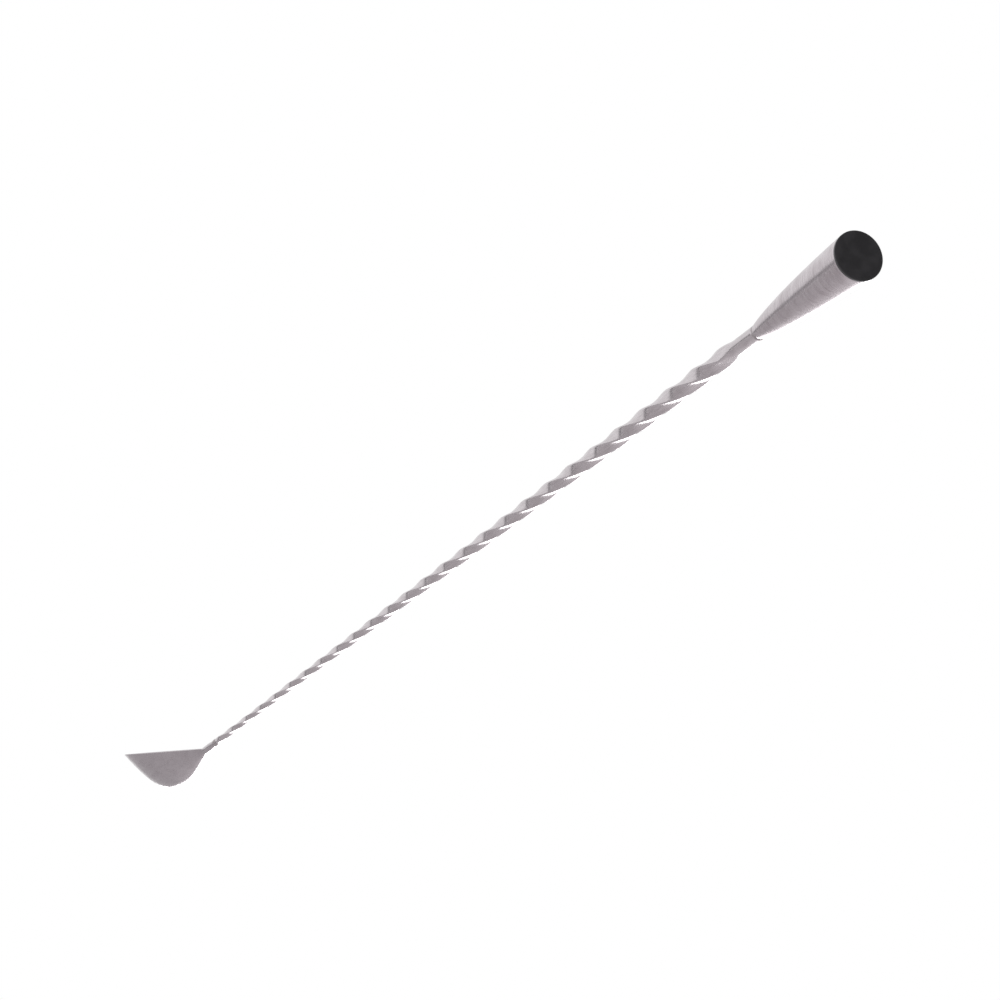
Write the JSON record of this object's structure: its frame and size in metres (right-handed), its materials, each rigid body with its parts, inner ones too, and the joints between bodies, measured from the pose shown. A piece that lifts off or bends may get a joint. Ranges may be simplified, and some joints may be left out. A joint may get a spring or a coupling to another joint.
{
  "type": "bar spoon",
  "caption": "Long bar spoon with a teardrop bowl, a tapering right-hand twisted square stem and a turned teardrop weight capped by a black disc.",
  "frame": {"origin": "centre of the bounding box in X and Y, at the height of the lowest point, which is the lower edge of the end disc when the spoon lies with its bowl opening up", "axes": "+X along the stem from the bowl towards the weight and its end disc, +Z the way the bowl opens, Y across the bowl; the stem's axis is level, 5.4 mm above the origin"},
  "size_m": [0.4, 0.0226, 0.0148],
  "materials": {
    "bowl": "satin stainless steel, pressed and polished",
    "bowl_weld": "dressed weld metal, dull",
    "stem": "satin stainless steel, lightly polished",
    "handle_weld": "dressed weld metal, dull",
    "handle_weight": "fine brush marks around the turned teardrop",
    "disc_adhesive": "cured clear resin",
    "end_disc": "black coating, satin"
  },
  "bodies": {
    "root": {"bowl": "bowl", "bowl_weld": "bowl_weld", "stem": "stem", "handle_weld": "handle_weld", "handle_weight": "handle_weight", "disc_adhesive": "disc_adhesive", "end_disc": "end_disc"}
  },
  "joints": []
}
